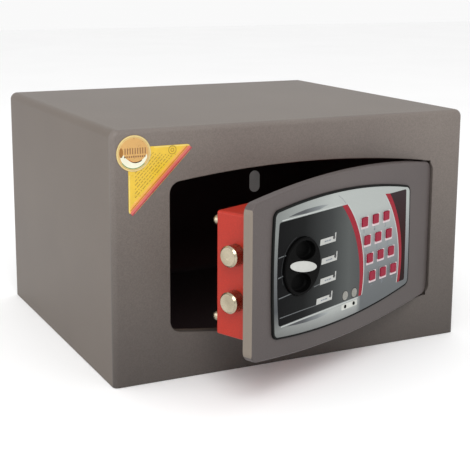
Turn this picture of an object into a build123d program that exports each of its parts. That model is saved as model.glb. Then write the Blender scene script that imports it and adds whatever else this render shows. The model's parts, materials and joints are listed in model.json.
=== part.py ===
"""Free-standing electronic in-room safe, modelled with its door standing ajar.

Millimetres, +Z up, origin at the centre of the body's base, front towards -Y. Everything the door
carries is drawn in the closed position and swung about the hinge axis when it is written.
"""

import os
from math import radians, sin, sqrt

from build123d import *

os.makedirs("parts", exist_ok=True)

# Body
BODY_W = 400.0
BODY_D = 350.0
BODY_H = 250.0
FRAME_T = 10.0
SHEET_T = 3.0
TOP_EDGE_R = 8.0
FRONT_EDGE_R = 5.0
REAR_EDGE_R = 2.5
FRONT_Y = -BODY_D / 2
REAR_Y = BODY_D / 2

# Door opening and door leaf
OPENING_X = 11.5
OPENING_Z = 122.5
OPENING_W = 305.0
OPENING_MID_H = 169.0
OPENING_END_H = 147.0
OPENING_CORNER_R = 12.0
DOOR_GAP = 1.5
DOOR_T = 9.5
DOOR_BACK = DOOR_T
DOOR_AJAR = 23.5

# Hinge
HINGE_X = OPENING_X + OPENING_W / 2 - DOOR_GAP - 8.0
HINGE_DEPTH = 5.0
HINGE_PIN_R = 2.5
HINGE_PIN_IN_FRAME = 16.0
HINGE_PIN_IN_DOOR = 14.0
HINGE_RUNNING = 0.05
COLLAR_R = 3.8
COLLAR_H = 4.6
SWING_RELIEF_R = 7.6
SWING_RELIEF_H = 12.0

# Fixing holes
FLOOR_HOLE_R = 5.0
FLOOR_HOLES_X = 240.0
FLOOR_HOLES_Y = 180.0
REAR_SLOT_W = 12.0
REAR_SLOT_H = 26.0
REAR_SLOTS_X = 256.0
REAR_SLOTS_Z = 116.5

# Keypad plate, drawn on the closed door
PLATE_TOP = ((-110.0, 184.5), (4.7, 189.5), (118.6, 175.4))
PLATE_RIGHT = ((118.6, 175.4), (120.3, 122.0), (120.6, 69.1))
PLATE_BOTTOM = ((120.6, 69.1), (4.7, 57.6), (-110.0, 65.1))
PLATE_LEFT = ((-110.0, 65.1), (-112.4, 124.5), (-110.0, 184.5))
PLATE_CORNER_R = 8.0
SEAL_T = 0.4
SEAL_W = 5.0
SEAL_LIP_W = 2.0
SEAL_LIP_PROUD = 2.2
BEZEL_T = 2.0
BEZEL_BACK = -SEAL_T
BEZEL_FRONT = BEZEL_BACK - BEZEL_T
INLAY_T = 0.5
INLAY_RECESS = 0.4
INLAY_BACK = BEZEL_FRONT + INLAY_RECESS

# Rotary knob
KNOB_X = -70.2
KNOB_Z = 127.2
KNOB_R = 27.5
KNOB_CLEARANCE = 0.5
KNOB_FRONT = -5.2
KNOB_POCKET_DEPTH = 5.0
KNOB_TILT = -12.0
SPINDLE_R = 5.0
RUNNING = 0.05

# Keys
KEY_COLUMNS = 3
KEY_ROWS = 4
KEY_PITCH_X = 19.6
KEY_PITCH_Z = 19.4
KEY_ROW_SKEW = 5.4
KEY_FIRST_X = 32.6
KEY_FIRST_Z = 151.3
KEY_W = 8.4
KEY_H = 9.0
KEY_HOLE_GAP = 0.3
KEY_PROUD = 1.2
KEY_NAMES = ("1", "2", "3", "4", "5", "6", "7", "8", "9", "clear", "0", "enter")

# Lock case
CASE_LEFT = -122.0
CASE_RIGHT = 118.0
CASE_BOTTOM = 62.0
CASE_TOP = 180.0
CASE_BACK = 56.0
CASE_T = 2.0

# Bolt work
BOLT_R = 10.0
BOLT_DEPTH = 32.5
BOLT_Z = 120.5
BOLT_SPACING = 43.5
BOLT_TIP_X = -134.0
BOLT_THROW = 18.0
FLANGE_X = -93.0
FLANGE_T = 4.0
CARRIAGE_DEPTH = 32.5
CARRIAGE_T = 3.0
CARRIAGE_RIGHT = -16.0
CARRIAGE_BOTTOM = 90.0
CARRIAGE_TOP = 157.0
CRANK_PIN_R = 3.0
CRANK_RADIUS = BOLT_THROW / 2 / sin(radians(45))
CRANK_SLOT_W = 7.0
CRANK_FRONT = 17.0
CRANK_BACK = 21.0
GUIDE_R = 3.0
BLOCKING_X = KNOB_X + 23.0
BLOCKING_R = 3.0
BLOCKING_TIP_Z = 158.2
BLOCKING_LENGTH = 15.0


def facing(depth):
    """Sketch plane parallel to the front, its x along +X and its y up; depth is behind the front face."""
    return Plane(origin=(0, FRONT_Y + depth, 0), x_dir=(1, 0, 0), z_dir=(0, -1, 0))


def from_above(height):
    """Sketch plane parallel to the base, its x along +X and its y along +Y."""
    return Plane.XY.offset(height)


HINGE_AXIS = Axis((HINGE_X, FRONT_Y + HINGE_DEPTH, 0), (0, 0, 1))


def save(piece, name):
    """Labels a piece that stays with the body and writes it."""
    piece.label = name
    export_step(piece, f"parts/{name}.step")


def save_on_door(piece, name):
    """Swings a piece drawn on the closed door to the ajar position, then labels and writes it."""
    save(piece.rotate(HINGE_AXIS, DOOR_AJAR), name)


def opening_outline(inset=0.0):
    """The opening with its arched top and bottom, or the leaf that fills it when inset by the gap."""
    corner_x = OPENING_W / 2 - inset
    corner_y = OPENING_END_H / 2 - inset
    arch_y = OPENING_MID_H / 2 - inset
    with BuildSketch() as outline:
        with BuildLine():
            ThreePointArc((-corner_x, corner_y), (0, arch_y), (corner_x, corner_y))
            Line((corner_x, corner_y), (corner_x, -corner_y))
            ThreePointArc((corner_x, -corner_y), (0, -arch_y), (-corner_x, -corner_y))
            Line((-corner_x, -corner_y), (-corner_x, corner_y))
        make_face()
        fillet(outline.vertices(), OPENING_CORNER_R - inset)
    return outline.sketch


def plate_outline(inset=0.0):
    """The keypad plate's outline with its four bowed sides, or a parallel one inside it."""
    with BuildSketch() as outline:
        with BuildLine():
            for side in (PLATE_TOP, PLATE_RIGHT, PLATE_BOTTOM, PLATE_LEFT):
                ThreePointArc(*side)
        make_face()
        if inset:
            offset(amount=-inset, kind=Kind.INTERSECTION)
        fillet(outline.vertices(), PLATE_CORNER_R - inset)
    return outline.sketch


def opening_half_height(x):
    """Half the height of the arched opening at a place across the front."""
    sag = (OPENING_MID_H - OPENING_END_H) / 2
    half_w = OPENING_W / 2
    arch_r = (half_w**2 + sag**2) / (2 * sag)
    return OPENING_MID_H / 2 - arch_r + sqrt(arch_r**2 - (x - OPENING_X) ** 2)


def key_place(row, column):
    """Centre of a key on the closed door."""
    return (
        KEY_FIRST_X + column * KEY_PITCH_X + row * KEY_ROW_SKEW,
        KEY_FIRST_Z - row * KEY_PITCH_Z,
    )


KEY_PLACES = [key_place(row, column) for row in range(KEY_ROWS) for column in range(KEY_COLUMNS)]

# ---------------------------------------------------------------- body shell

with BuildPart() as envelope:
    with Locations((0, 0, BODY_H / 2)):
        Box(BODY_W, BODY_D, BODY_H)
    fillet(envelope.edges().filter_by(Axis.Y).group_by(Axis.Z)[-1], TOP_EDGE_R)
    front_loop = envelope.faces().sort_by(Axis.Y)[0].edges()
    fillet(front_loop.sort_by(Axis.Z)[1:], FRONT_EDGE_R)
    rear_loop = envelope.faces().sort_by(Axis.Y)[-1].edges()
    fillet(rear_loop.sort_by(Axis.Z)[1:], REAR_EDGE_R)

FRAME_BACK_Y = FRONT_Y + FRAME_T
PANEL_FRONT_Y = REAR_Y - SHEET_T

pin_top_z = OPENING_Z + opening_half_height(HINGE_X)
pin_bottom_z = OPENING_Z - opening_half_height(HINGE_X)
spot_face_z = pin_bottom_z - 1.2

with BuildPart() as front_frame:
    add(envelope.part)
    with Locations((0, FRONT_Y + FRAME_T / 2, BODY_H / 2)):
        Box(BODY_W + 2, FRAME_T, BODY_H + 2, mode=Mode.INTERSECT)
    with BuildSketch(facing(FRAME_T)):
        with Locations((OPENING_X, OPENING_Z)):
            add(opening_outline())
    extrude(amount=FRAME_T, mode=Mode.SUBTRACT)
    opening_rim = front_frame.faces().sort_by(Axis.Y)[0].inner_wires()[0].edges()
    fillet(opening_rim, 1.0)
    with BuildSketch(from_above(pin_top_z - 3)):
        with Locations((HINGE_X, FRONT_Y + HINGE_DEPTH)):
            Circle(HINGE_PIN_R)
    extrude(amount=HINGE_PIN_IN_FRAME + 3, mode=Mode.SUBTRACT)
    with BuildSketch(from_above(pin_bottom_z - HINGE_PIN_IN_FRAME)):
        with Locations((HINGE_X, FRONT_Y + HINGE_DEPTH)):
            Circle(HINGE_PIN_R)
    extrude(amount=HINGE_PIN_IN_FRAME + 3, mode=Mode.SUBTRACT)
    with BuildSketch(from_above(spot_face_z)):
        with Locations((HINGE_X, FRONT_Y + HINGE_DEPTH)):
            Circle(COLLAR_R + 0.1)
    extrude(amount=4, mode=Mode.SUBTRACT)
    # The opening's corners are relieved round the hinge axis, so that the leaf clears them as it turns.
    for relief_z in (pin_top_z - 0.2 - SWING_RELIEF_H, pin_bottom_z + 0.2):
        with BuildSketch(from_above(relief_z)):
            with Locations((HINGE_X, FRONT_Y + HINGE_DEPTH)):
                Circle(SWING_RELIEF_R)
        extrude(amount=SWING_RELIEF_H, mode=Mode.SUBTRACT)
save(front_frame.part, "front_frame")

with BuildPart() as body_wrap:
    add(envelope.part)
    with Locations((0, (FRAME_BACK_Y + PANEL_FRONT_Y) / 2, BODY_H / 2)):
        Box(BODY_W + 2, PANEL_FRONT_Y - FRAME_BACK_Y, BODY_H + 2, mode=Mode.INTERSECT)
    with BuildSketch(facing(BODY_D)) as cavity:
        with Locations((0, BODY_H / 2)):
            Rectangle(BODY_W - 2 * SHEET_T, BODY_H - 2 * SHEET_T)
        fillet(cavity.vertices().group_by(Axis.Y)[-1], TOP_EDGE_R - SHEET_T)
    extrude(amount=BODY_D, mode=Mode.SUBTRACT)
    with Locations((0, 0, SHEET_T)):
        with GridLocations(FLOOR_HOLES_X, FLOOR_HOLES_Y, 2, 2):
            Hole(FLOOR_HOLE_R, depth=SHEET_T)
save(body_wrap.part, "body_wrap")

REAR_SLOTS = ((-REAR_SLOTS_X / 2, REAR_SLOTS_Z), (REAR_SLOTS_X / 2, REAR_SLOTS_Z))
with BuildPart() as back_panel:
    add(envelope.part)
    with Locations((0, REAR_Y - SHEET_T / 2, BODY_H / 2)):
        Box(BODY_W + 2, SHEET_T, BODY_H + 2, mode=Mode.INTERSECT)
    with BuildSketch(facing(BODY_D)):
        with Locations(*REAR_SLOTS):
            SlotOverall(REAR_SLOT_H, REAR_SLOT_W, rotation=90)
    extrude(amount=SHEET_T, mode=Mode.SUBTRACT)
save(back_panel.part, "back_panel")

# Moulded plugs close the rear fixing slots until they are needed.
PLUG_LIP = 1.5
PLUG_HEAD_T = 1.8
with BuildPart() as hole_plugs:
    with BuildSketch(facing(BODY_D)):
        with Locations(*REAR_SLOTS):
            SlotOverall(REAR_SLOT_H, REAR_SLOT_W, rotation=90)
    extrude(amount=SHEET_T)
    with BuildSketch(facing(BODY_D - SHEET_T)):
        with Locations(*REAR_SLOTS):
            SlotOverall(REAR_SLOT_H + 2 * PLUG_LIP, REAR_SLOT_W + 2 * PLUG_LIP, rotation=90)
    extrude(amount=PLUG_HEAD_T)
    fillet(hole_plugs.faces().sort_by(Axis.Y)[:2].edges(), 1.2)
save(hole_plugs.part, "hole_plugs")

# Bar welded behind the frame: it stops the leaf and the bolts shoot behind it.
STRIKE_LEFT = -168.0
STRIKE_RIGHT = OPENING_X - OPENING_W / 2 + 3.5
STRIKE_DEPTH = 11.5
with BuildPart() as strike_bar:
    with BuildSketch(facing(FRAME_T + STRIKE_DEPTH)):
        with Locations(((STRIKE_LEFT + STRIKE_RIGHT) / 2, BOLT_Z)):
            Rectangle(STRIKE_RIGHT - STRIKE_LEFT, 100)
    extrude(amount=STRIKE_DEPTH)
    fillet(strike_bar.edges().filter_by(Axis.Z).sort_by(Axis.Y)[-2:], 1.5)
save(strike_bar.part, "strike_bar")

with BuildPart() as hinge_pins:
    with BuildSketch(from_above(pin_top_z - HINGE_PIN_IN_DOOR)):
        with Locations((HINGE_X, FRONT_Y + HINGE_DEPTH)):
            Circle(HINGE_PIN_R)
    extrude(amount=HINGE_PIN_IN_DOOR + HINGE_PIN_IN_FRAME)
    with BuildSketch(from_above(pin_bottom_z - HINGE_PIN_IN_FRAME)):
        with Locations((HINGE_X, FRONT_Y + HINGE_DEPTH)):
            Circle(HINGE_PIN_R)
    extrude(amount=HINGE_PIN_IN_DOOR + HINGE_PIN_IN_FRAME)
save(hinge_pins.part, "hinge_pins")

with BuildPart() as hinge_collar:
    with BuildSketch(from_above(spot_face_z)):
        with Locations((HINGE_X, FRONT_Y + HINGE_DEPTH)):
            Circle(COLLAR_R)
            Circle(HINGE_PIN_R, mode=Mode.SUBTRACT)
    extrude(amount=COLLAR_H)
save(hinge_collar.part, "hinge_collar")

# ---------------------------------------------------------------- stickers on the frame

STICKER_T = 0.3
STICKER_CORNER = (-183.0, 233.0)
STICKER_LEG = 69.0
ROUND_SEAL_AT = (-177.5, 227.5)
ROUND_SEAL_R = 17.2

with BuildPart() as triangle_sticker:
    with BuildSketch(facing(0)) as triangle:
        with BuildLine():
            Polyline(
                STICKER_CORNER,
                (STICKER_CORNER[0] + STICKER_LEG, STICKER_CORNER[1]),
                (STICKER_CORNER[0], STICKER_CORNER[1] - STICKER_LEG),
                close=True,
            )
        make_face()
        fillet(triangle.vertices(), 4.0)
    extrude(amount=STICKER_T)
save(triangle_sticker.part, "triangle_sticker")

with BuildPart() as round_seal:
    with BuildSketch(facing(-STICKER_T)):
        with Locations(ROUND_SEAL_AT):
            Circle(ROUND_SEAL_R)
    extrude(amount=STICKER_T)
save(round_seal.part, "round_seal")

# ---------------------------------------------------------------- door leaf

BUSH_R = 8.0
BOARD_CUT = (25.5, 96.0, 84.0, 160.0)
CUT_CENTRE = ((BOARD_CUT[0] + BOARD_CUT[1]) / 2, (BOARD_CUT[2] + BOARD_CUT[3]) / 2)
CUT_SIZE = (BOARD_CUT[1] - BOARD_CUT[0], BOARD_CUT[3] - BOARD_CUT[2])
BEZEL_SCREWS = [(x, z) for x in (-86.0, 99.0) for z in (74.0, 171.0)]
BEZEL_SCREW_R = 1.6
BEZEL_SCREW_GRIP = 1.2

with BuildPart() as door_plate:
    with BuildSketch(facing(DOOR_BACK)):
        with Locations((OPENING_X, OPENING_Z)):
            add(opening_outline(DOOR_GAP))
    extrude(amount=DOOR_T)
    leaf_rim = door_plate.faces().sort_by(Axis.Y)[0].outer_wire().edges()
    fillet(leaf_rim, 1.5)
    with BuildSketch(facing(KNOB_POCKET_DEPTH)):
        with Locations((KNOB_X, KNOB_Z)):
            Circle(KNOB_R + KNOB_CLEARANCE)
    extrude(amount=KNOB_POCKET_DEPTH, mode=Mode.SUBTRACT)
    with BuildSketch(facing(DOOR_BACK)):
        with Locations((KNOB_X, KNOB_Z)):
            Circle(BUSH_R)
        with Locations(CUT_CENTRE):
            RectangleRounded(CUT_SIZE[0], CUT_SIZE[1], 3)
        with Locations(BEZEL_SCREWS):
            Circle(BEZEL_SCREW_R)
    extrude(amount=DOOR_T, mode=Mode.SUBTRACT)
    with BuildSketch(from_above(pin_top_z - HINGE_PIN_IN_DOOR - 0.5)):
        with Locations((HINGE_X, FRONT_Y + HINGE_DEPTH)):
            Circle(HINGE_PIN_R + HINGE_RUNNING)
    extrude(amount=HINGE_PIN_IN_DOOR + 3, mode=Mode.SUBTRACT)
    with BuildSketch(from_above(pin_bottom_z - 3)):
        with Locations((HINGE_X, FRONT_Y + HINGE_DEPTH)):
            Circle(HINGE_PIN_R + HINGE_RUNNING)
    extrude(amount=HINGE_PIN_IN_DOOR + 3.5, mode=Mode.SUBTRACT)
    with BuildSketch(from_above(pin_bottom_z - 3)):
        with Locations((HINGE_X, FRONT_Y + HINGE_DEPTH)):
            Circle(COLLAR_R + 0.3)
    extrude(amount=spot_face_z + COLLAR_H + 0.1 - (pin_bottom_z - 3), mode=Mode.SUBTRACT)
save_on_door(door_plate.part, "door_plate")

# ---------------------------------------------------------------- keypad plate on the door

PAD_WALL = 1.2
PAD_WALL_BACK = BEZEL_FRONT + PAD_WALL

# Rubber seal: a thin flange under the plate and a lip that frames its edge.
with BuildPart() as keypad_seal:
    with BuildSketch(facing(0)):
        add(plate_outline())
        add(plate_outline(SEAL_W), mode=Mode.SUBTRACT)
    extrude(amount=SEAL_T)
    with BuildSketch(facing(0)):
        add(plate_outline())
        add(plate_outline(SEAL_LIP_W), mode=Mode.SUBTRACT)
    extrude(amount=SEAL_LIP_PROUD)
    fillet(keypad_seal.faces().sort_by(Axis.Y)[0].outer_wire().edges(), 0.7)
save_on_door(keypad_seal.part, "keypad_seal")

# Red bands: each is a crescent that runs down the plate and narrows.
INLAY_TOP = 173.8
INLAY_BOTTOM = 76.4
band_one_outer = ((2.8, INLAY_TOP), (31.0, 122.5), (30.9, INLAY_BOTTOM))
band_one_inner = ((-6.0, INLAY_TOP), (23.2, 124.0), (26.0, INLAY_BOTTOM))
band_two_outer = ((78.8, 173.0), (102.4, 123.0), (101.6, 75.5))
band_two_inner = ((69.8, 174.0), (97.0, 123.0), (97.2, 75.5))
dark_left_edge = ((-102.9, INLAY_BOTTOM), (-105.9, 119.0), (-103.4, INLAY_TOP))
dark_right_edge = ((111.4, 75.5), (111.3, 112.0), (109.9, 173.0))

with BuildSketch() as band_one:
    with BuildLine():
        ThreePointArc(*band_one_outer)
        Line(band_one_outer[2], band_one_inner[2])
        ThreePointArc(*band_one_inner)
        Line(band_one_inner[0], band_one_outer[0])
    make_face()

with BuildSketch() as band_two:
    with BuildLine():
        ThreePointArc(*band_two_outer)
        Line(band_two_outer[2], band_two_inner[2])
        ThreePointArc(*band_two_inner)
        Line(band_two_inner[0], band_two_outer[0])
    make_face()

with BuildSketch() as dark_left:
    with BuildLine():
        ThreePointArc(*band_one_inner)
        Line(band_one_inner[2], dark_left_edge[0])
        ThreePointArc(*dark_left_edge)
        Line(dark_left_edge[2], band_one_inner[0])
    make_face()
    fillet(dark_left.vertices().sort_by(Axis.X)[:2], 3.0)

with BuildSketch() as dark_right:
    with BuildLine():
        ThreePointArc(*band_two_outer)
        Line(band_two_outer[2], dark_right_edge[0])
        ThreePointArc(*dark_right_edge)
        Line(dark_right_edge[2], band_two_outer[0])
    make_face()
    fillet(dark_right.vertices().sort_by(Axis.X)[-2:], 2.0)

with BuildPart() as keypad_bezel:
    with BuildSketch(facing(BEZEL_BACK)):
        add(plate_outline(SEAL_LIP_W))
    extrude(amount=BEZEL_T)
    bezel_rim = keypad_bezel.faces().sort_by(Axis.Y)[0].outer_wire().edges()
    fillet(bezel_rim, 0.5)
    with BuildSketch(facing(BEZEL_BACK)):
        with Locations((KNOB_X, KNOB_Z)):
            Circle(KNOB_R + KNOB_CLEARANCE)
        with Locations(*[Pos(x, z) for x, z in KEY_PLACES]):
            RectangleRounded(KEY_W + 2 * KEY_HOLE_GAP, KEY_H + 2 * KEY_HOLE_GAP, 1.3)
    extrude(amount=BEZEL_T, mode=Mode.SUBTRACT)
    with BuildSketch(facing(BEZEL_BACK)):
        with Locations(CUT_CENTRE):
            RectangleRounded(CUT_SIZE[0] - 2, CUT_SIZE[1] - 2, 2)
    extrude(amount=BEZEL_T - PAD_WALL, mode=Mode.SUBTRACT)
    with BuildSketch(facing(INLAY_BACK)):
        add(dark_left.sketch)
        add(dark_right.sketch)
        add(band_one.sketch)
        add(band_two.sketch)
    extrude(amount=INLAY_RECESS, mode=Mode.SUBTRACT)
    with BuildSketch(facing(BEZEL_BACK)):
        with Locations(BEZEL_SCREWS):
            Circle(BEZEL_SCREW_R)
    extrude(amount=BEZEL_SCREW_GRIP, mode=Mode.SUBTRACT)
save_on_door(keypad_bezel.part, "keypad_bezel")

WINDOW_PLACES = [(2.5, 82.3), (18.1, 82.0)]
WINDOW_R = 4.6
LED_PLACES = [(-18.6, 145.2), (-15.9, 126.1), (-17.3, 106.6), (-22.8, 88.1)]
LED_R = 1.6

with BuildPart() as overlay_left:
    with BuildSketch(facing(INLAY_BACK)):
        add(dark_left.sketch)
        with Locations((KNOB_X, KNOB_Z)):
            Circle(KNOB_R + KNOB_CLEARANCE, mode=Mode.SUBTRACT)
        with Locations(WINDOW_PLACES):
            Circle(WINDOW_R, mode=Mode.SUBTRACT)
        with Locations(LED_PLACES):
            Circle(LED_R, mode=Mode.SUBTRACT)
    extrude(amount=INLAY_T)
save_on_door(overlay_left.part, "overlay_left")

with BuildPart() as overlay_right:
    with BuildSketch(facing(INLAY_BACK)):
        add(dark_right.sketch)
    extrude(amount=INLAY_T)
save_on_door(overlay_right.part, "overlay_right")

with BuildPart() as red_bands:
    with BuildSketch(facing(INLAY_BACK)):
        add(band_one.sketch)
        add(band_two.sketch)
    extrude(amount=INLAY_T)
save_on_door(red_bands.part, "red_bands")

with BuildPart() as status_windows:
    with BuildSketch(facing(INLAY_BACK)):
        with Locations(WINDOW_PLACES):
            Circle(WINDOW_R)
    extrude(amount=INLAY_T + 0.3)
save_on_door(status_windows.part, "status_windows")

with BuildPart() as status_leds:
    with BuildSketch(facing(INLAY_BACK)):
        with Locations(LED_PLACES):
            Circle(LED_R)
    extrude(amount=INLAY_T + 0.4)
save_on_door(status_leds.part, "status_leds")

# Each label is a raised strip with its lamp in a notch and a short flag beside it.
LABEL_T = 0.2
LABEL_SHAPE = ((-22.9, -4.3), (2.6, -4.3), (3.4, 4.3), (1.9, 4.3), (1.4, 1.4), (-21.9, 1.4))
with BuildPart() as function_labels:
    with BuildSketch(facing(INLAY_BACK - INLAY_T)):
        for led_x, led_z in LED_PLACES:
            with Locations((led_x, led_z)):
                with BuildLine():
                    Polyline(*[(led_x + x, led_z + z) for x, z in LABEL_SHAPE], close=True)
                make_face()
                Circle(LED_R + 0.3, mode=Mode.SUBTRACT)
    extrude(amount=LABEL_T)
save_on_door(function_labels.part, "function_labels")

CONTACT_PLACES = [(3.0, 71.1), (17.7, 71.2)]
with BuildPart() as power_contacts:
    with BuildSketch(facing(BEZEL_FRONT)):
        with Locations(CONTACT_PLACES):
            Circle(1.8)
    extrude(amount=0.6)
    fillet(power_contacts.faces().sort_by(Axis.Y)[:2].edges(), 0.3)
save_on_door(power_contacts.part, "power_contacts")

with BuildPart() as bezel_screws:
    with BuildSketch(facing(DOOR_BACK)):
        with Locations(BEZEL_SCREWS):
            Circle(BEZEL_SCREW_R)
    extrude(amount=DOOR_T + SEAL_T + BEZEL_SCREW_GRIP)
    with BuildSketch(facing(DOOR_BACK + 2.0)):
        with Locations(BEZEL_SCREWS):
            Circle(3.2)
    extrude(amount=2.0)
save_on_door(bezel_screws.part, "bezel_screws")

# Keypad electronics in the cut-out of the leaf
BOARD_FRONT = 1.4
BOARD_T = 1.6
DOME_H = 0.3
with BuildPart() as keypad_board:
    with BuildSketch(facing(BOARD_FRONT + BOARD_T)):
        with Locations(CUT_CENTRE):
            RectangleRounded(CUT_SIZE[0] - 1.0, CUT_SIZE[1] - 1.0, 2.5)
    extrude(amount=BOARD_T)
save_on_door(keypad_board.part, "keypad_board")

with BuildPart() as key_domes:
    with BuildSketch(facing(BOARD_FRONT)):
        with Locations(*[Pos(x, z) for x, z in KEY_PLACES]):
            Circle(4.0)
    extrude(amount=DOME_H)
save_on_door(key_domes.part, "key_domes")

KEY_FLANGE = 0.6
KEY_FLANGE_LIP = 0.9
key_flange_back = PAD_WALL_BACK + 0.1 + KEY_FLANGE
key_top = BEZEL_FRONT - KEY_PROUD
for (key_x, key_z), legend in zip(KEY_PLACES, KEY_NAMES):
    with BuildPart() as key:
        with BuildSketch(facing(key_flange_back)):
            with Locations((key_x, key_z)):
                RectangleRounded(KEY_W, KEY_H, 1.0)
        extrude(amount=key_flange_back - key_top)
        fillet(key.faces().sort_by(Axis.Y)[0].edges(), 0.5)
        with BuildSketch(facing(key_flange_back)):
            with Locations((key_x, key_z)):
                Rectangle(KEY_W + 2 * KEY_FLANGE_LIP, KEY_H + 2 * KEY_FLANGE_LIP)
        extrude(amount=KEY_FLANGE)
        with BuildSketch(facing(key_flange_back + 0.4)):
            with Locations((key_x, key_z)):
                Circle(1.5)
        extrude(amount=0.4)
    save_on_door(key.part, f"key_{legend}")

# ---------------------------------------------------------------- knob and spindle

knob_back = KNOB_POCKET_DEPTH - 0.5
CUP_LENGTH_R = 15.5
CUP_WIDTH_R = 9.2
CUP_OFFSET = 15.3
CUP_DEPTH = 7.0
cup_floor = KNOB_FRONT + CUP_DEPTH
with BuildPart() as knob:
    with BuildSketch(facing(knob_back)):
        with Locations((KNOB_X, KNOB_Z)):
            Circle(KNOB_R)
            Circle(SPINDLE_R, mode=Mode.SUBTRACT)
    extrude(amount=knob_back - KNOB_FRONT - 2.0)
    with BuildSketch(facing(KNOB_FRONT + 2.0)):
        with Locations((KNOB_X, KNOB_Z)):
            Circle(KNOB_R)
    extrude(amount=2.0)
    fillet(knob.faces().sort_by(Axis.Y)[0].edges(), 1.2)
    with BuildSketch(facing(cup_floor)):
        with Locations(Pos(KNOB_X, KNOB_Z) * Rot(0, 0, KNOB_TILT)):
            with Locations((0, CUP_OFFSET), (0, -CUP_OFFSET)):
                Ellipse(CUP_LENGTH_R, CUP_WIDTH_R)
    extrude(amount=CUP_DEPTH, mode=Mode.SUBTRACT)
    floor_y = FRONT_Y + cup_floor
    fillet(knob.edges().filter_by_position(Axis.Y, floor_y - 0.01, floor_y + 0.01), 2.5)
save_on_door(knob.part, "knob")

with BuildPart() as knob_badge:
    with BuildSketch(facing(KNOB_FRONT)):
        with Locations(Pos(KNOB_X, KNOB_Z) * Rot(0, 0, KNOB_TILT)):
            Ellipse(21.0, 5.2)
    extrude(amount=0.5)
save_on_door(knob_badge.part, "knob_badge")

BUSH_BACK = DOOR_BACK + 2.0
with BuildPart() as knob_bush:
    with BuildSketch(facing(DOOR_BACK)):
        with Locations((KNOB_X, KNOB_Z)):
            Circle(BUSH_R)
    extrude(amount=DOOR_BACK - KNOB_POCKET_DEPTH)
    with BuildSketch(facing(BUSH_BACK)):
        with Locations((KNOB_X, KNOB_Z)):
            Circle(BUSH_R + 3)
    extrude(amount=BUSH_BACK - DOOR_BACK)
    with BuildSketch(facing(BUSH_BACK)):
        with Locations((KNOB_X, KNOB_Z)):
            Circle(SPINDLE_R + RUNNING)
    extrude(amount=BUSH_BACK, mode=Mode.SUBTRACT)
save_on_door(knob_bush.part, "knob_bush")

with BuildPart() as spindle:
    with BuildSketch(facing(CRANK_BACK)):
        with Locations((KNOB_X, KNOB_Z)):
            Circle(SPINDLE_R)
    extrude(amount=CRANK_BACK - KNOB_FRONT - 2.0)
save_on_door(spindle.part, "spindle")

with BuildPart() as spindle_clip:
    with BuildSketch(facing(BUSH_BACK + 1.5)):
        with Locations((KNOB_X, KNOB_Z)):
            Circle(SPINDLE_R + 3)
            Circle(SPINDLE_R, mode=Mode.SUBTRACT)
    extrude(amount=1.0)
save_on_door(spindle_clip.part, "spindle_clip")

crank_pin_x = KNOB_X + BOLT_THROW / 2
crank_pin_z = KNOB_Z + BOLT_THROW / 2
carriage_front = CARRIAGE_DEPTH - CARRIAGE_T / 2
carriage_back = CARRIAGE_DEPTH + CARRIAGE_T / 2
with BuildPart() as crank_disc:
    with BuildSketch(facing(CRANK_BACK)):
        with Locations((KNOB_X, KNOB_Z)):
            Circle(CRANK_RADIUS + CRANK_PIN_R + 1.5)
            Circle(SPINDLE_R, mode=Mode.SUBTRACT)
    extrude(amount=CRANK_BACK - CRANK_FRONT)
    with BuildSketch(facing(carriage_back + 1.5)):
        with Locations((crank_pin_x, crank_pin_z)):
            Circle(CRANK_PIN_R)
    extrude(amount=carriage_back + 1.5 - CRANK_BACK)
save_on_door(crank_disc.part, "crank_disc")

# ---------------------------------------------------------------- bolt work

FLANGE_BOTTOM = 86.0
FLANGE_TOP = 155.0
BOLT_ZS = (BOLT_Z - BOLT_SPACING / 2, BOLT_Z + BOLT_SPACING / 2)
SLOT_W = 2 * (GUIDE_R + RUNNING)
GUIDES = ((-80.0, 98.0), (-80.0, 150.2), (-48.5, 98.0))
NOTCH_W = 2 * BLOCKING_R + 0.6
NOTCH_DEPTH = 6.0
crank_slot_low = crank_pin_z - 0.4
crank_slot_high = KNOB_Z + CRANK_RADIUS + 0.4
BOLT_SCREW_R = 3.0

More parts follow.
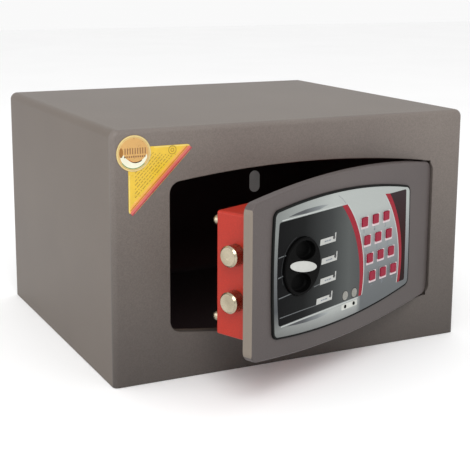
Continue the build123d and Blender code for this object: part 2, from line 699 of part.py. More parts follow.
with BuildPart() as bolt_carriage:
    with BuildSketch(facing(carriage_back)):
        with BuildLine():
            Polyline(
                (FLANGE_X, CARRIAGE_BOTTOM),
                (CARRIAGE_RIGHT, CARRIAGE_BOTTOM),
                (CARRIAGE_RIGHT, CARRIAGE_TOP),
                (FLANGE_X, CARRIAGE_TOP),
                close=True,
            )
        make_face()
        crank_slot_h = crank_slot_high - crank_slot_low + CRANK_SLOT_W
        with Locations((crank_pin_x, (crank_slot_low + crank_slot_high) / 2)):
            SlotOverall(crank_slot_h, CRANK_SLOT_W, rotation=90, mode=Mode.SUBTRACT)
        with Locations(*[(x + BOLT_THROW / 2, z) for x, z in GUIDES]):
            SlotOverall(BOLT_THROW + SLOT_W, SLOT_W, mode=Mode.SUBTRACT)
        with Locations(
            (BLOCKING_X, CARRIAGE_TOP - NOTCH_DEPTH / 2),
            (BLOCKING_X + BOLT_THROW, CARRIAGE_TOP - NOTCH_DEPTH / 2),
        ):
            Rectangle(NOTCH_W, NOTCH_DEPTH, mode=Mode.SUBTRACT)
    extrude(amount=CARRIAGE_T)
    with BuildSketch(facing(BOLT_DEPTH + BOLT_R)):
        with Locations((FLANGE_X + FLANGE_T / 2, (FLANGE_BOTTOM + FLANGE_TOP) / 2)):
            Rectangle(FLANGE_T, FLANGE_TOP - FLANGE_BOTTOM)
    extrude(amount=2 * BOLT_R)
    for bolt_z in BOLT_ZS:
        with BuildSketch(Plane(origin=(FLANGE_X, FRONT_Y + BOLT_DEPTH, bolt_z), z_dir=(1, 0, 0))):
            Circle(BOLT_SCREW_R)
        extrude(amount=FLANGE_T, mode=Mode.SUBTRACT)
        with BuildSketch(
            Plane(origin=(FLANGE_X + FLANGE_T, FRONT_Y + BOLT_DEPTH, bolt_z), z_dir=(1, 0, 0))
        ):
            Circle(6.5)
        extrude(amount=6.0, mode=Mode.SUBTRACT)
save_on_door(bolt_carriage.part, "bolt_carriage")

for bolt_z, bolt_name in zip(BOLT_ZS, ("bolt_lower", "bolt_upper")):
    with BuildPart() as bolt:
        with BuildSketch(
            Plane(origin=(FLANGE_X, FRONT_Y + BOLT_DEPTH, bolt_z), z_dir=(-1, 0, 0))
        ):
            Circle(BOLT_R)
        extrude(amount=FLANGE_X - BOLT_TIP_X)
        chamfer(bolt.faces().sort_by(Axis.X)[0].edges(), 1.5)
        with BuildSketch(Plane(origin=(BOLT_TIP_X, FRONT_Y + BOLT_DEPTH, bolt_z), z_dir=(1, 0, 0))):
            Circle(2.2)
        extrude(amount=1.5, mode=Mode.SUBTRACT)
        with BuildSketch(Plane(origin=(FLANGE_X, FRONT_Y + BOLT_DEPTH, bolt_z), z_dir=(-1, 0, 0))):
            Circle(BOLT_SCREW_R)
        extrude(amount=14.0, mode=Mode.SUBTRACT)
    save_on_door(bolt.part, bolt_name)

with BuildPart() as bolt_screws:
    for bolt_z in BOLT_ZS:
        with BuildSketch(
            Plane(origin=(FLANGE_X + FLANGE_T, FRONT_Y + BOLT_DEPTH, bolt_z), z_dir=(-1, 0, 0))
        ):
            Circle(BOLT_SCREW_R)
        extrude(amount=16.0)
        with BuildSketch(
            Plane(origin=(FLANGE_X + FLANGE_T, FRONT_Y + BOLT_DEPTH, bolt_z), z_dir=(1, 0, 0))
        ):
            Circle(5.0)
        extrude(amount=4.0)
save_on_door(bolt_screws.part, "bolt_screws")

with BuildPart() as guide_pins:
    with BuildSketch(facing(carriage_front - 0.3)):
        with Locations(*GUIDES):
            Circle(5.0)
    extrude(amount=carriage_front - 0.3 - DOOR_BACK)
    with BuildSketch(facing(carriage_back + 0.3)):
        with Locations(*GUIDES):
            Circle(GUIDE_R)
    extrude(amount=CARRIAGE_T + 0.6)
    with BuildSketch(facing(carriage_back + 2.8)):
        with Locations(*GUIDES):
            Circle(5.0)
    extrude(amount=2.5)
save_on_door(guide_pins.part, "guide_pins")

# ---------------------------------------------------------------- lock case and what it holds

CASE_CENTRE = ((CASE_LEFT + CASE_RIGHT) / 2, (CASE_BOTTOM + CASE_TOP) / 2)
CASE_SIZE = (CASE_RIGHT - CASE_LEFT, CASE_TOP - CASE_BOTTOM)
POSTS = [(x, z) for x in (CASE_LEFT + 7, CASE_RIGHT - 7) for z in (77.5, 169.5)]
POST_R = 4.0
CASE_SCREW_R = 2.0
CAP_NUT_R = 5.2
CAP_NUT_H = 8.7
LINER_R = 12.0
LINER_HUB_R = 11.2
LINER_LENGTH = 8.0
HATCH = (20.0, 96.0, 88.0, 156.0)
HATCH_CENTRE = ((HATCH[0] + HATCH[1]) / 2, (HATCH[2] + HATCH[3]) / 2)
HATCH_SIZE = (HATCH[1] - HATCH[0], HATCH[3] - HATCH[2])
case_inner_back = CASE_BACK - CASE_T

with BuildPart() as lock_case:
    with BuildSketch(facing(CASE_BACK)):
        with Locations(CASE_CENTRE):
            Rectangle(*CASE_SIZE)
    extrude(amount=CASE_BACK - DOOR_BACK)
    fillet(lock_case.edges().filter_by(Axis.Y), 2.5)
    fillet(lock_case.faces().sort_by(Axis.Y)[-1].edges(), 1.5)
    with BuildSketch(facing(case_inner_back)):
        with Locations(CASE_CENTRE):
            Rectangle(CASE_SIZE[0] - 2 * CASE_T, CASE_SIZE[1] - 2 * CASE_T)
    extrude(amount=case_inner_back - DOOR_BACK, mode=Mode.SUBTRACT)
    for bolt_z in BOLT_ZS:
        with BuildSketch(
            Plane(origin=(CASE_LEFT, FRONT_Y + BOLT_DEPTH, bolt_z), z_dir=(1, 0, 0))
        ):
            Circle(LINER_HUB_R)
        extrude(amount=CASE_T, mode=Mode.SUBTRACT)
    with BuildSketch(facing(CASE_BACK)):
        with Locations(*POSTS):
            Circle(CASE_SCREW_R)
        with Locations(HATCH_CENTRE):
            RectangleRounded(HATCH_SIZE[0] - 8, HATCH_SIZE[1] - 8, 3)
        with Locations((HATCH[1] - 2, HATCH_CENTRE[1])):
            Circle(1.5)
    extrude(amount=CASE_T, mode=Mode.SUBTRACT)
save_on_door(lock_case.part, "lock_case")

with BuildPart() as bolt_liners:
    for bolt_z in BOLT_ZS:
        with BuildSketch(
            Plane(origin=(CASE_LEFT, FRONT_Y + BOLT_DEPTH, bolt_z), z_dir=(1, 0, 0))
        ):
            Circle(LINER_HUB_R)
            Circle(BOLT_R + RUNNING, mode=Mode.SUBTRACT)
        extrude(amount=LINER_LENGTH)
        with BuildSketch(
            Plane(origin=(CASE_LEFT + CASE_T, FRONT_Y + BOLT_DEPTH, bolt_z), z_dir=(1, 0, 0))
        ):
            Circle(LINER_R + 1)
            Circle(BOLT_R + RUNNING, mode=Mode.SUBTRACT)
        extrude(amount=1.5)
save_on_door(bolt_liners.part, "bolt_liners")

with BuildPart() as case_posts:
    with BuildSketch(facing(case_inner_back)):
        with Locations(*POSTS):
            Circle(POST_R)
            Circle(CASE_SCREW_R, mode=Mode.SUBTRACT)
    extrude(amount=case_inner_back - DOOR_BACK)
save_on_door(case_posts.part, "case_posts")

with BuildPart() as case_screws:
    with BuildSketch(facing(CASE_BACK)):
        with Locations(*POSTS):
            Circle(CASE_SCREW_R)
    extrude(amount=12.0)
    with BuildSketch(facing(CASE_BACK + CAP_NUT_H)):
        with Locations(*POSTS):
            Circle(CAP_NUT_R)
    extrude(amount=CAP_NUT_H)
    fillet(case_screws.faces().sort_by(Axis.Y)[-4:].edges(), CAP_NUT_R - 0.2)
save_on_door(case_screws.part, "case_screws")

with BuildPart() as battery_hatch:
    with BuildSketch(facing(CASE_BACK + 1.5)):
        with Locations(HATCH_CENTRE):
            RectangleRounded(HATCH_SIZE[0], HATCH_SIZE[1], 3)
        with Locations((HATCH[1] - 2, HATCH_CENTRE[1])):
            Circle(1.5, mode=Mode.SUBTRACT)
    extrude(amount=1.5)
    with BuildSketch(facing(CASE_BACK)):
        with Locations(HATCH_CENTRE):
            RectangleRounded(HATCH_SIZE[0] - 8.6, HATCH_SIZE[1] - 8.6, 2.7)
    extrude(amount=CASE_T)
save_on_door(battery_hatch.part, "battery_hatch")

with BuildPart() as hatch_screw:
    with BuildSketch(facing(CASE_BACK + 1.5)):
        with Locations((HATCH[1] - 2, HATCH_CENTRE[1])):
            Circle(1.5)
    extrude(amount=6.0)
    with BuildSketch(facing(CASE_BACK + 3.5)):
        with Locations((HATCH[1] - 2, HATCH_CENTRE[1])):
            Circle(1.9)
    extrude(amount=2.0)
save_on_door(hatch_screw.part, "hatch_screw")

HOLDER = (23.0, 93.0, 93.0, 151.0)
HOLDER_CENTRE = ((HOLDER[0] + HOLDER[1]) / 2, (HOLDER[2] + HOLDER[3]) / 2)
HOLDER_SIZE = (HOLDER[1] - HOLDER[0], HOLDER[3] - HOLDER[2])
HOLDER_BACK = 50.0
HOLDER_T = 1.5
CELL_R = 7.2
CELL_LENGTH = 50.0
CELL_PITCH = 16.4
cell_depth = HOLDER_BACK - CELL_R - 2.0
with BuildPart() as battery_holder:
    with BuildSketch(facing(HOLDER_BACK)):
        with Locations(HOLDER_CENTRE):
            Rectangle(*HOLDER_SIZE)
    extrude(amount=18.0)
    with BuildSketch(facing(HOLDER_BACK)):
        with Locations(HOLDER_CENTRE):
            Rectangle(HOLDER_SIZE[0] - 2 * HOLDER_T, HOLDER_SIZE[1] - 2 * HOLDER_T)
    extrude(amount=18.0 - HOLDER_T, mode=Mode.SUBTRACT)
save_on_door(battery_holder.part, "battery_holder")

with BuildPart() as batteries:
    for index in range(4):
        cell_x = HOLDER_CENTRE[0] + (index - 1.5) * CELL_PITCH
        with BuildSketch(from_above(HOLDER_CENTRE[1] - CELL_LENGTH / 2)):
            with Locations((cell_x, FRONT_Y + cell_depth)):
                Circle(CELL_R)
        extrude(amount=CELL_LENGTH)
save_on_door(batteries.part, "batteries")

CONTROL = (-6.0, 104.0, 76.0, 168.0)
CONTROL_CENTRE = ((CONTROL[0] + CONTROL[1]) / 2, (CONTROL[2] + CONTROL[3]) / 2)
CONTROL_SIZE = (CONTROL[1] - CONTROL[0], CONTROL[3] - CONTROL[2])
CONTROL_DEPTH = 16.5
STANDOFFS = [(x, z) for x in (CONTROL[0] + 5, CONTROL[1] - 5) for z in (CONTROL[2] + 5, CONTROL[3] - 5)]
with BuildPart() as board_standoffs:
    with BuildSketch(facing(CONTROL_DEPTH)):
        with Locations(*STANDOFFS):
            RegularPolygon(3.0, 6)
    extrude(amount=CONTROL_DEPTH - DOOR_BACK)
save_on_door(board_standoffs.part, "board_standoffs")

with BuildPart() as control_board:
    with BuildSketch(facing(CONTROL_DEPTH + 1.6)):
        with Locations(CONTROL_CENTRE):
            Rectangle(*CONTROL_SIZE)
    extrude(amount=1.6)
    for chip_x, chip_z, chip_w, chip_h, chip_t in (
        (14.0, 158.0, 22.0, 9.0, 3.0),
        (48.0, 159.0, 12.0, 12.0, 2.0),
        (78.0, 160.0, 16.0, 8.0, 6.0),
        (10.0, 84.0, 14.0, 8.0, 6.0),
    ):
        with BuildSketch(facing(CONTROL_DEPTH + 1.6 + chip_t)):
            with Locations((chip_x, chip_z)):
                Rectangle(chip_w, chip_h)
        extrude(amount=chip_t)
save_on_door(control_board.part, "control_board")

with BuildPart() as ribbon_cable:
    with BuildSketch(facing(CONTROL_DEPTH)):
        with Locations((70.0, 120.0)):
            Rectangle(16.0, 1.2)
    extrude(amount=CONTROL_DEPTH - BOARD_FRONT - BOARD_T)
save_on_door(ribbon_cable.part, "ribbon_cable")

MOTOR = (BLOCKING_X - 14.0, BLOCKING_X + 14.0, 164.0, 177.0)
MOTOR_DEPTH = (24.0, 43.0)
with BuildPart() as lock_motor:
    with BuildSketch(facing(MOTOR_DEPTH[1])):
        with Locations(((MOTOR[0] + MOTOR[1]) / 2, (MOTOR[2] + MOTOR[3]) / 2)):
            Rectangle(MOTOR[1] - MOTOR[0], MOTOR[3] - MOTOR[2])
    extrude(amount=MOTOR_DEPTH[1] - MOTOR_DEPTH[0])
    with BuildSketch(from_above(MOTOR[2])):
        with Locations((BLOCKING_X, FRONT_Y + CARRIAGE_DEPTH)):
            Circle(BLOCKING_R + RUNNING)
    extrude(amount=MOTOR[3] - MOTOR[2] - 2.0, mode=Mode.SUBTRACT)
save_on_door(lock_motor.part, "lock_motor")

with BuildPart() as motor_bracket:
    with BuildSketch(facing(MOTOR_DEPTH[0])):
        with Locations((BLOCKING_X, (MOTOR[2] + MOTOR[3]) / 2)):
            Rectangle(10.0, 10.0)
    extrude(amount=MOTOR_DEPTH[0] - DOOR_BACK)
save_on_door(motor_bracket.part, "motor_bracket")

with BuildPart() as blocking_pin:
    with BuildSketch(from_above(BLOCKING_TIP_Z)):
        with Locations((BLOCKING_X, FRONT_Y + CARRIAGE_DEPTH)):
            Circle(BLOCKING_R)
    extrude(amount=BLOCKING_LENGTH)
save_on_door(blocking_pin.part, "blocking_pin")
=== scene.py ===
"""Looks of the in-room safe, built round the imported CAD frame, in metres."""

import json
import math

import bmesh
import bpy
from mathutils import Matrix, Vector

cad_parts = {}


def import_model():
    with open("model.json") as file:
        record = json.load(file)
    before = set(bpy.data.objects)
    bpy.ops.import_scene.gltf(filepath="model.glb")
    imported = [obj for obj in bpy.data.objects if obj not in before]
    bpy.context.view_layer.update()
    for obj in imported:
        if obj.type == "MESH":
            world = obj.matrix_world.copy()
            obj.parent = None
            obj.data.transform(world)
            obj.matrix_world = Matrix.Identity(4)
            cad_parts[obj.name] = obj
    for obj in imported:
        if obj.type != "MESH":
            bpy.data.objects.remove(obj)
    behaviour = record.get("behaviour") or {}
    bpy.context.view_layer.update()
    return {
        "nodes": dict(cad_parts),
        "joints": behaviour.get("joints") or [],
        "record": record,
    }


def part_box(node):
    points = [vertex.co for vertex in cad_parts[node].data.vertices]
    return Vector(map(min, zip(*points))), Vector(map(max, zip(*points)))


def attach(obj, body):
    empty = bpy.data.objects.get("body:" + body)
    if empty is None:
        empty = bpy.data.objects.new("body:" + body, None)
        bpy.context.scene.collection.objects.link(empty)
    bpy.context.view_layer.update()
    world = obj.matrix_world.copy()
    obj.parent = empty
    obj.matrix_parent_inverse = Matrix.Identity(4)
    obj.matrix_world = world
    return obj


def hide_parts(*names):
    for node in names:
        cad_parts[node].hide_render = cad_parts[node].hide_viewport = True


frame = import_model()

nodes = frame["nodes"]
MM = 0.001

# ---------------------------------------------------------------- places read from the frame

FRONT_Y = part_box("front_frame")[0].y
door_joint = next(j for j in frame["joints"] if j["name"] == "door_swing")
HINGE = Vector(door_joint["pos_m"])
AJAR = -math.radians(door_joint["range_deg"][0])
TO_REST = (
    Matrix.Translation(HINGE) @ Matrix.Rotation(AJAR, 4, "Z") @ Matrix.Translation(-HINGE)
)
TO_CLOSED = TO_REST.inverted()


def closed_box(node):
    """Lowest and highest corner of a CAD node of the door, as it lies with the door closed."""
    points = [TO_CLOSED @ v.co for v in nodes[node].data.vertices]
    low = Vector([min(p[i] for p in points) for i in range(3)])
    high = Vector([max(p[i] for p in points) for i in range(3)])
    return low, high


def centre_xz(node):
    """Centre of a CAD node across the closed door, as (x, z)."""
    low, high = closed_box(node)
    return (low.x + high.x) / 2, (low.z + high.z) / 2


def front_depth(node):
    """How far behind the front face a node's foremost point lies; negative where it stands proud."""
    return closed_box(node)[0].y - FRONT_Y


PANEL_MM = front_depth("keypad_bezel") / MM
OVERLAY_MM = front_depth("overlay_left") / MM
KNOB_X_MM, KNOB_Z_MM = (value / MM for value in centre_xz("knob"))
BODY_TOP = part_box("body_wrap")[1].z

# ---------------------------------------------------------------- node tools for materials


def srgb(code):
    """A linear colour from an sRGB hex code."""
    def linear(c):
        return c / 12.92 if c <= 0.04045 else ((c + 0.055) / 1.055) ** 2.4
    return tuple(linear(int(code[i : i + 2], 16) / 255) for i in (0, 2, 4)) + (1.0,)


def grey(value):
    """A linear grey, opaque."""
    return (value, value, value, 1.0)


class Material:
    """A procedural material and short ways to add nodes to it."""

    def __init__(self, name, **values):
        self.material = bpy.data.materials.new(name)
        self.material.use_nodes = True
        self.tree = self.material.node_tree
        self.shader = self.tree.nodes["Principled BSDF"]
        for key, value in values.items():
            self.shader.inputs[key.replace("_", " ")].default_value = value
        self.coordinates = self.add("ShaderNodeTexCoord").outputs["Object"]

    def add(self, kind, **settings):
        node = self.tree.nodes.new(kind)
        for key, value in settings.items():
            setattr(node, key, value)
        return node

    def link(self, a, b):
        self.tree.links.new(a, b)

    def noise(self, scale, detail=2.0):
        """Noise that runs in the object's own coordinates."""
        node = self.add("ShaderNodeTexNoise")
        node.inputs["Scale"].default_value = scale
        node.inputs["Detail"].default_value = detail
        self.link(self.coordinates, node.inputs["Vector"])
        return node.outputs["Fac"]

    def ramp(self, fac, *stops):
        """A colour that runs through some stops, each a position and a colour."""
        node = self.add("ShaderNodeValToRGB")
        elements = node.color_ramp.elements
        while len(elements) < len(stops):
            elements.new(0.5)
        for element, (position, colour) in zip(elements, stops):
            element.position = position
            element.color = colour
        self.link(fac, node.inputs["Fac"])
        return node.outputs["Color"]

    def span(self, fac, low, high, to_low=0.0, to_high=1.0):
        """A value mapped from one range to another, and held at its ends."""
        node = self.add("ShaderNodeMapRange")
        ends = {"From Min": low, "From Max": high, "To Min": to_low, "To Max": to_high}
        for key, value in ends.items():
            node.inputs[key].default_value = value
        self.link(fac, node.inputs["Value"])
        return node.outputs["Result"]

    def math(self, operation, a, b=None):
        node = self.add("ShaderNodeMath", operation=operation)
        for value, socket in ((a, node.inputs[0]), (b, node.inputs[1])):
            if value is None:
                continue
            if isinstance(value, (int, float)):
                socket.default_value = value
            else:
                self.link(value, socket)
        return node.outputs[0]

    def mix(self, fac, a, b):
        node = self.add("ShaderNodeMix", data_type="RGBA")
        for value, socket in ((fac, node.inputs[0]), (a, node.inputs[6]), (b, node.inputs[7])):
            if isinstance(value, (int, float, tuple)):
                socket.default_value = value
            else:
                self.link(value, socket)
        return node.outputs[2]

    def tint(self, base, tint, amount=1.0):
        """A colour multiplied by another."""
        node = self.add("ShaderNodeMix", data_type="RGBA", blend_type="MULTIPLY")
        node.inputs[0].default_value = amount
        self.link(base, node.inputs[6])
        if isinstance(tint, tuple):
            node.inputs[7].default_value = tint
        else:
            self.link(tint, node.inputs[7])
        return node.outputs[2]

    def axis(self, index):
        """The object's X, Y or Z, in metres."""
        node = self.add("ShaderNodeSeparateXYZ")
        self.link(self.coordinates, node.inputs[0])
        return node.outputs[index]

    def faded(self, colour, bottom, top):
        """A colour multiplied by one factor at the floor and another at the top of the body."""
        factor = self.span(self.axis(2), 0.0, BODY_TOP, bottom, top)
        node = self.add("ShaderNodeVectorMath", operation="SCALE")
        self.link(colour, node.inputs[0])
        self.link(factor, node.inputs["Scale"])
        return node.outputs[0]

    def across_door(self):
        """A place's distance along the door's width, growing towards the hinge, in metres."""
        node = self.add("ShaderNodeVectorMath", operation="DOT_PRODUCT")
        self.link(self.coordinates, node.inputs[0])
        node.inputs[1].default_value = (math.cos(AJAR), math.sin(AJAR), 0)
        return node.outputs["Value"]

    def colour(self, socket):
        self.link(socket, self.shader.inputs["Base Color"])

    def roughness(self, socket):
        self.link(socket, self.shader.inputs["Roughness"])

    def bump(self, height, strength, distance):
        """Adds a bump on top of those that the material already has."""
        node = self.add("ShaderNodeBump")
        node.inputs["Strength"].default_value = strength
        node.inputs["Distance"].default_value = distance
        self.link(height, node.inputs["Height"])
        previous = self.shader.inputs["Normal"].links
        if previous:
            self.link(previous[0].from_socket, node.inputs["Normal"])
        self.link(node.outputs["Normal"], self.shader.inputs["Normal"])


def door_position(x):
    """The value of across_door for a place given by its x on the closed door."""
    rest = TO_REST @ Vector((x, FRONT_Y, 0))
    return rest.x * math.cos(AJAR) + rest.y * math.sin(AJAR)


# ---------------------------------------------------------------- materials

# How deep the outside paint reaches into the body's walls, before the painted shade of the inside begins.
WRAP_SKIN = 2.7 * MM
THIN_SKIN = 1.5 * MM
FRAME_SKIN = 9.5 * MM
# How deep the front face's painted light (a cooler tone, paler to the top) reaches, and how high the
# floor's painted light and how wide the painted highlight along the leaf's free edge are.
FRONT_SKIN = 5.0 * MM
LIT_FLOOR = 8.0 * MM
FREE_EDGE = 1.2 * MM


def powder_coat(name, light, dark, roughness=0.42, bottom=1.0, top=1.0):
    """Satin powder coat with fine orange peel and faint clouding, its colour scaled between the bottom and
    top factors as painted light and shade over height.
    """
    m = Material(name, Specular_IOR_Level=0.28)
    cloud = m.noise(9.0, 3.0)
    grain = m.noise(900.0, 2.0)
    base = m.ramp(cloud, (0.3, dark), (0.7, light))
    speck = m.ramp(grain, (0.35, grey(0.86)), (0.65, grey(1.08)))
    # Painted light and shade: the colour is scaled from the bottom factor at the floor to the top factor at
    # the top.
    m.base = m.faded(m.tint(base, speck, 0.8), bottom, top)
    m.colour(m.base)
    m.roughness(m.span(grain, 0.3, 0.7, roughness - 0.06, roughness + 0.08))
    m.bump(m.noise(520.0, 2.0), 0.22, 0.0003)
    m.bump(m.noise(1900.0, 1.0), 0.12, 0.0001)
    return m


def body_coat():
    """The body's coat outside with painted light on its front; inside, near-black painted shade tinged red
    by a painted reflection of the red lock case, and painted light on its floor.
    """
    m = powder_coat("body_coat", srgb("675c52"), srgb("61564d"), bottom=0.78, top=0.86)
    half_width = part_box("body_wrap")[1].x - WRAP_SKIN
    # Painted shade: everything inside the body's walls gets a near-black colour.
    inside = m.math("LESS_THAN", m.math("ABSOLUTE", m.axis(0)), half_width)
    for condition in (
        m.math("GREATER_THAN", m.axis(2), THIN_SKIN),
        m.math("LESS_THAN", m.axis(2), BODY_TOP - WRAP_SKIN),
        m.math("LESS_THAN", m.axis(1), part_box("back_panel")[1].y - THIN_SKIN),
        m.math("GREATER_THAN", m.axis(1), FRONT_Y + FRAME_SKIN),
    ):
        inside = m.math("MULTIPLY", inside, condition)
    # Painted light: the front face gets a cooler tone, paler towards the top and darker towards the bottom.
    front = m.math("LESS_THAN", m.axis(1), FRONT_Y + FRONT_SKIN)
    front_painted_light = m.tint(m.base, (0.93, 1.01, 1.14, 1.0))
    facing_out = m.mix(front, m.base, m.faded(front_painted_light, 0.7, 1.5))
    # Painted light on the floor inside: pale near the opening and darker deeper in; the inside walls get
    # near-black painted shade tinged red by a painted reflection of the red lock case.
    lit_floor = m.math("LESS_THAN", m.axis(2), LIT_FLOOR)
    depth = m.span(m.axis(1), FRONT_Y + 10 * MM, FRONT_Y + 100 * MM)
    floor_painted_light = m.ramp(depth, (0.0, srgb("6a625b")), (1.0, srgb("33292a")))
    m.colour(m.mix(inside, facing_out, m.mix(lit_floor, srgb("382626"), floor_painted_light)))
    return m.material


def door_coat_material():
    """The leaf's coat, with a painted highlight along the rounded free edge."""
    m = powder_coat("door_coat", srgb("514a48"), srgb("4c4544"), bottom=0.78, top=1.15)
    left = door_position(closed_box("door_plate")[0].x)
    # Painted highlight: a paler colour along the rounded free edge stands in for light caught there.
    edge = m.math("LESS_THAN", m.across_door(), left + FREE_EDGE)
    m.colour(m.mix(edge, m.base, srgb("756c62")))
    return m.material


def turned_nickel():
    """Nickel plate over turned steel, finely grained and slightly clouded."""
    m = Material("turned_nickel", Metallic=1.0, Anisotropic=0.35)
    fine = m.noise(1400.0, 3.0)
    cloud = m.noise(60.0, 2.0)
    m.colour(m.ramp(cloud, (0.3, srgb("958b76")), (0.7, srgb("b5ab95"))))
    m.roughness(m.span(fine, 0.3, 0.7, 0.2, 0.34))
    m.bump(fine, 0.12, 0.00005)
    return m.material


def worked_metal(name, dark, light, scale, smooth, rough, strength):
    """Bare metal with a fine even grain."""
    m = Material(name, Metallic=1.0)
    fine = m.noise(scale, 3.0)
    m.colour(m.ramp(fine, (0.3, srgb(dark)), (0.7, srgb(light))))
    m.roughness(m.span(fine, 0.3, 0.7, smooth, rough))
    m.bump(fine, strength, 0.0001)
    return m.material


def moulded(name, light, dark, roughness, **values):
    """Moulded plastic or rubber with a fine even texture."""
    m = Material(name, **values)
    cloud = m.noise(40.0)
    fine = m.noise(1500.0)
    m.colour(m.ramp(cloud, (0.3, srgb(dark)), (0.7, srgb(light))))
    m.roughness(m.span(fine, 0.3, 0.7, roughness - 0.05, roughness + 0.07))
    m.bump(fine, 0.12, 0.0001)
    return m.material


def silver_panel():
    """Metallic silver film: paler towards the top, finely flaked."""
    m = Material("silver_panel", Metallic=0.55)
    low, high = closed_box("keypad_bezel")
    height = m.span(m.axis(2), low.z, high.z)
    flake = m.noise(2600.0, 1.0)
    shade = m.ramp(
        height,
        (0.0, srgb("7c7f7e")),
        (0.1, srgb("a2a6a3")),
        (0.25, srgb("62666a")),
        (0.5, srgb("85898b")),
        (0.8, srgb("a9aeab")),
        (1.0, srgb("a8adaa")),
    )
    speck = m.ramp(flake, (0.35, grey(0.9)), (0.65, grey(1.05)))
    across = m.span(m.across_door(), door_position(low.x), door_position(high.x))
    side = m.ramp(across, (0.0, grey(0.46)), (0.12, grey(0.62)), (0.4, grey(1)), (1.0, grey(0.95)))
    graded = m.tint(m.tint(shade, speck), side)
    keypad = m.ramp(
        height,
        (0.0, srgb("54585a")),
        (0.2, srgb("5c6062")),
        (0.45, srgb("7b7f81")),
        (0.7, srgb("989d9b")),
        (1.0, srgb("a2a7a4")),
    )
    keypad_zone = m.span(m.across_door(), door_position(22 * MM), door_position(30 * MM))
    below = m.span(m.axis(2), 150 * MM, 110 * MM)
    m.colour(m.mix(m.math("MULTIPLY", keypad_zone, below), graded, keypad))
    m.roughness(m.span(flake, 0.3, 0.7, 0.34, 0.44))
    m.bump(flake, 0.05, 0.00003)
    return m.material


def dark_film():
    """Printed film, near black at its left and grey towards the red band."""
    m = Material("dark_film", Specular_IOR_Level=0.02)
    low, high = closed_box("overlay_left")
    along = m.span(m.across_door(), door_position(low.x), door_position(high.x))
    fine = m.noise(2200.0, 1.0)
    m.colour(
        m.ramp(
            along,
            (0.0, srgb("101011")),
            (0.3, srgb("191a1a")),
            (0.62, srgb("373939")),
            (0.85, srgb("505352")),
            (1.0, srgb("4a4c4c")),
        )
    )
    m.roughness(m.span(fine, 0.3, 0.7, 0.26, 0.36))
    m.bump(fine, 0.05, 0.00003)
    return m.material


def dark_film_right():
    """Printed film beyond the second band, dark brown."""
    m = Material("dark_film_right", Specular_IOR_Level=0.02)
    fine = m.noise(2200.0, 1.0)
    low, high = closed_box("overlay_right")
    height = m.span(m.axis(2), low.z, high.z)
    m.colour(m.ramp(height, (0.0, srgb("241a1a")), (0.5, srgb("301a19")), (1.0, srgb("33292c"))))
    m.roughness(m.span(fine, 0.3, 0.7, 0.26, 0.36))
    m.bump(fine, 0.05, 0.00003)
    return m.material


def printed(name, code, roughness=0.35, **values):
    """A printed colour with slight mottling."""
    m = Material(name, **values)
    cloud = m.noise(120.0, 2.0)
    colour = srgb(code)
    darker = tuple(c * 0.9 for c in colour[:3]) + (1.0,)
    m.colour(m.ramp(cloud, (0.3, darker), (0.7, colour)))
    m.roughness(m.span(cloud, 0.3, 0.7, roughness - 0.04, roughness + 0.04))
    m.bump(m.noise(2500.0, 1.0), 0.04, 0.00003)
    return m.material


BODY_COAT = body_coat()
DOOR_COAT = door_coat_material()
RED_COAT = powder_coat("red_coat", srgb("aa2a1a"), srgb("a12617"), roughness=0.36).material
NICKEL = turned_nickel()
STEEL = worked_metal("zinc_steel", "8e9092", "a9abad", 300.0, 0.3, 0.45, 0.1)
BRASS = worked_metal("turned_brass", "a5853f", "c5a256", 500.0, 0.25, 0.4, 0.08)
SILVER = silver_panel()
FILM = dark_film()
FILM_RIGHT = dark_film_right()
RED_PRINT = printed("red_print", "8a1727", Specular_IOR_Level=0.1)
WHITE_PRINT = printed("white_print", "a9aaa6")
BADGE_WHITE = printed("badge_white", "b2b3af")
GREY_PRINT = printed("grey_print", "8b8f90")
YELLOW = printed("yellow_vinyl", "d2ae28", roughness=0.3, Coat_Weight=0.3)
GOLD = printed("gold_foil", "c59a5c", roughness=0.3, Metallic=0.25)
YELLOW_INK = printed("yellow_ink", "957813")
RUBBER = moulded("seal_rubber", "121312", "0c0d0c", 0.6, Specular_IOR_Level=0.1)
BLACK = moulded("black_plastic", "080808", "050505", 0.5, Specular_IOR_Level=0.03)
RED_KEY = moulded("red_key", "8a1630", "7d122a", 0.35, Specular_IOR_Level=0.12)
BOARD = moulded("solder_mask", "1f5a34", "17482a", 0.3)
CELL = moulded("cell_jacket", "26282c", "1d1f22", 0.3)
CABLE = moulded("ribbon_jacket", "8a8c90", "7c7e82", 0.5)
LENS = moulded("pale_lens", "7c7b74", "727169", 0.25, Coat_Weight=0.2)
LED_LENS = moulded("dark_lens", "141415", "0e0e0f", 0.12, Coat_Weight=0.6)
# Painted light: the plugs in the back wall glow faintly by emission, as if lit through from behind.
PLUG_PAINTED_GLOW = {"Emission_Color": srgb("d4cfcc"), "Emission_Strength": 0.08}
GREY_PLASTIC = moulded("grey_plastic", "d4cfcc", "c6c1be", 0.5, **PLUG_PAINTED_GLOW)

